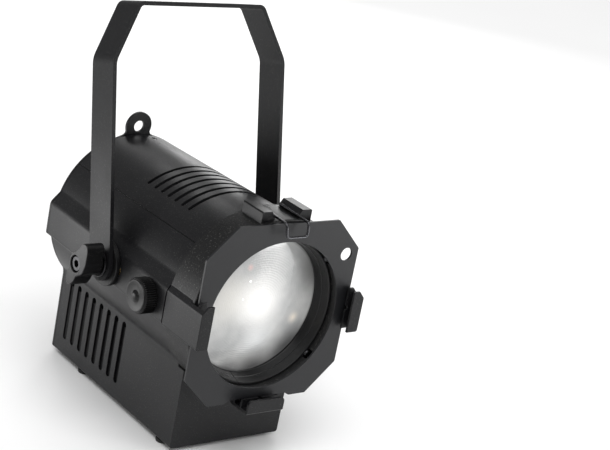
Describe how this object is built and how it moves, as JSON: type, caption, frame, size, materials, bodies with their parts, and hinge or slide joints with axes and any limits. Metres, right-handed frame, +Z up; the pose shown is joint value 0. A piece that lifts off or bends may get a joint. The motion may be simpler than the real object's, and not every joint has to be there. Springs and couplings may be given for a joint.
{
  "type": "ellipsoidal spotlight",
  "caption": "compact theatre spotlight: finned-vent LED barrel on a driver box, tilting yoke with wing knobs, focus knob, and a colour frame held by a wire latch",
  "frame": {"origin": "centre of the bounding box in x and y, at the bottom of the feet", "axes": "+Z up; the light leaves toward -Y; the focus knob is on the -X side; the yoke stands up, leaning 14.3 degrees toward +Y"},
  "size_m": [0.181, 0.205, 0.2821],
  "materials": {
    "black_paint": "satin black powder coat",
    "grey_paint": "satin grey paint",
    "black_plastic": "moulded black plastic",
    "steel": "bright zinc-plated steel",
    "aluminium": "bare extruded and turned aluminium",
    "brass": "turned brass",
    "rubber": "matt black rubber",
    "lens_glass": "clear glass with a fine pebbled front",
    "smoked_window": "smoked clear plastic",
    "circuit_board": "green circuit board",
    "led_phosphor": "ceramic board with a yellow phosphor disc",
    "nylon": "natural nylon",
    "winding": "taped copper winding"
  },
  "bodies": {
    "housing": {"base_panel": "black_paint", "control_board": "circuit_board", "data_in": "steel", "data_out": "steel", "display_window": "smoked_window", "driver_board": "circuit_board", "driver_capacitor": "black_plastic", "driver_heat_sink": "aluminium", "driver_transformer": "winding", "focus_bush": "brass", "foot_front_left": "rubber", "foot_front_right": "rubber", "foot_rear_left": "rubber", "foot_rear_right": "rubber", "friction_disc_left": "black_plastic", "friction_disc_right": "black_plastic", "front_bezel": "black_paint", "front_bulkhead": "black_paint", "guide_rod_left": "steel", "guide_rod_right": "steel", "idler_axle": "steel", "lens": "lens_glass", "lens_retaining_ring": "black_plastic", "lower_housing": "black_paint", "outer_washer_left": "steel", "outer_washer_right": "steel", "power_inlet": "black_plastic", "rear_bulkhead": "black_paint", "rear_panel": "black_paint", "ring_screw_1": "steel", "ring_screw_2": "steel", "ring_screw_3": "steel", "ring_screw_4": "steel", "thread_insert_left": "brass", "thread_insert_right": "brass", "top_cover": "black_paint"},
    "yoke": {"yoke": "black_paint"},
    "tilt_knob_left": {"tilt_knob_left": "black_plastic", "tilt_bolt_left": "steel"},
    "tilt_knob_right": {"tilt_knob_right": "black_plastic", "tilt_bolt_right": "steel"},
    "light_engine": {"led_carriage": "aluminium", "heat_sink": "aluminium", "led_module": "led_phosphor", "led_reflector": "aluminium", "fan_frame": "black_plastic", "rod_bush_left": "brass", "rod_bush_right": "brass", "focus_rack": "nylon"},
    "fan": {"fan_rotor": "black_plastic"},
    "focus_knob": {"focus_knob": "black_plastic", "focus_shaft": "steel"},
    "idler": {"idler_gear": "nylon"},
    "colour_frame": {"gel_frame": "grey_paint"},
    "latch": {"latch_wire": "steel"},
    "button_mode": {"menu_button_mode": "black_plastic"},
    "button_up": {"menu_button_up": "black_plastic"},
    "button_down": {"menu_button_down": "black_plastic"},
    "button_enter": {"menu_button_enter": "black_plastic"}
  },
  "joints": [
    {"name": "yoke_tilt", "type": "hinge", "parent": "housing", "child": "yoke", "pos_m": [0, 0.0135, 0.1084], "axis": [1, 0, 0], "range_deg": [-85, 70]},
    {"name": "tilt_knob_left_turn", "type": "hinge", "parent": "housing", "child": "tilt_knob_left", "pos_m": [-0.0734, 0.0135, 0.1084], "axis": [1, 0, 0], "range_deg": [0, 360]},
    {"name": "tilt_knob_right_turn", "type": "hinge", "parent": "housing", "child": "tilt_knob_right", "pos_m": [0.0734, 0.0135, 0.1084], "axis": [1, 0, 0], "range_deg": [0, 360]},
    {"name": "engine_slide", "type": "slide", "parent": "housing", "child": "light_engine", "axis": [0, 1, 0], "range_m": [0, 0.03]},
    {"name": "focus_turn", "type": "hinge", "parent": "housing", "child": "focus_knob", "pos_m": [-0.066, -0.04, 0.1068], "axis": [1, 0, 0], "range_deg": [0, 216]},
    {"name": "idler_turn", "type": "hinge", "parent": "housing", "child": "idler", "pos_m": [-0.0545, -0.02, 0.1068], "axis": [1, 0, 0], "range_deg": [-144, 0]},
    {"name": "fan_spin", "type": "hinge", "parent": "light_engine", "child": "fan", "pos_m": [0, 0.0265, 0.11], "axis": [0, 1, 0], "continuous": true},
    {"name": "colour_frame_lift", "type": "slide", "parent": "housing", "child": "colour_frame", "axis": [0, 0, 1], "range_m": [0, 0.078]},
    {"name": "latch_swing", "type": "hinge", "parent": "housing", "child": "latch", "pos_m": [0, -0.067, 0.177], "axis": [1, 0, 0], "range_deg": [-187, 0]},
    {"name": "button_mode_press", "type": "slide", "parent": "housing", "child": "button_mode", "axis": [0, -1, 0], "range_m": [0, 0.0012], "stiffness_N_per_m": 400, "springref_m": -0.001},
    {"name": "button_up_press", "type": "slide", "parent": "housing", "child": "button_up", "axis": [0, -1, 0], "range_m": [0, 0.0012], "stiffness_N_per_m": 400, "springref_m": -0.001},
    {"name": "button_down_press", "type": "slide", "parent": "housing", "child": "button_down", "axis": [0, -1, 0], "range_m": [0, 0.0012], "stiffness_N_per_m": 400, "springref_m": -0.001},
    {"name": "button_enter_press", "type": "slide", "parent": "housing", "child": "button_enter", "axis": [0, -1, 0], "range_m": [0, 0.0012], "stiffness_N_per_m": 400, "springref_m": -0.001}
  ],
  "couplings": [
    {"joint": "focus_turn", "follows": "engine_slide", "rad_per_m": 125},
    {"joint": "idler_turn", "follows": "engine_slide", "rad_per_m": -83.333},
    {"joint": "latch_swing", "follows": "colour_frame_lift", "rad_per_m": -41.667}
  ]
}
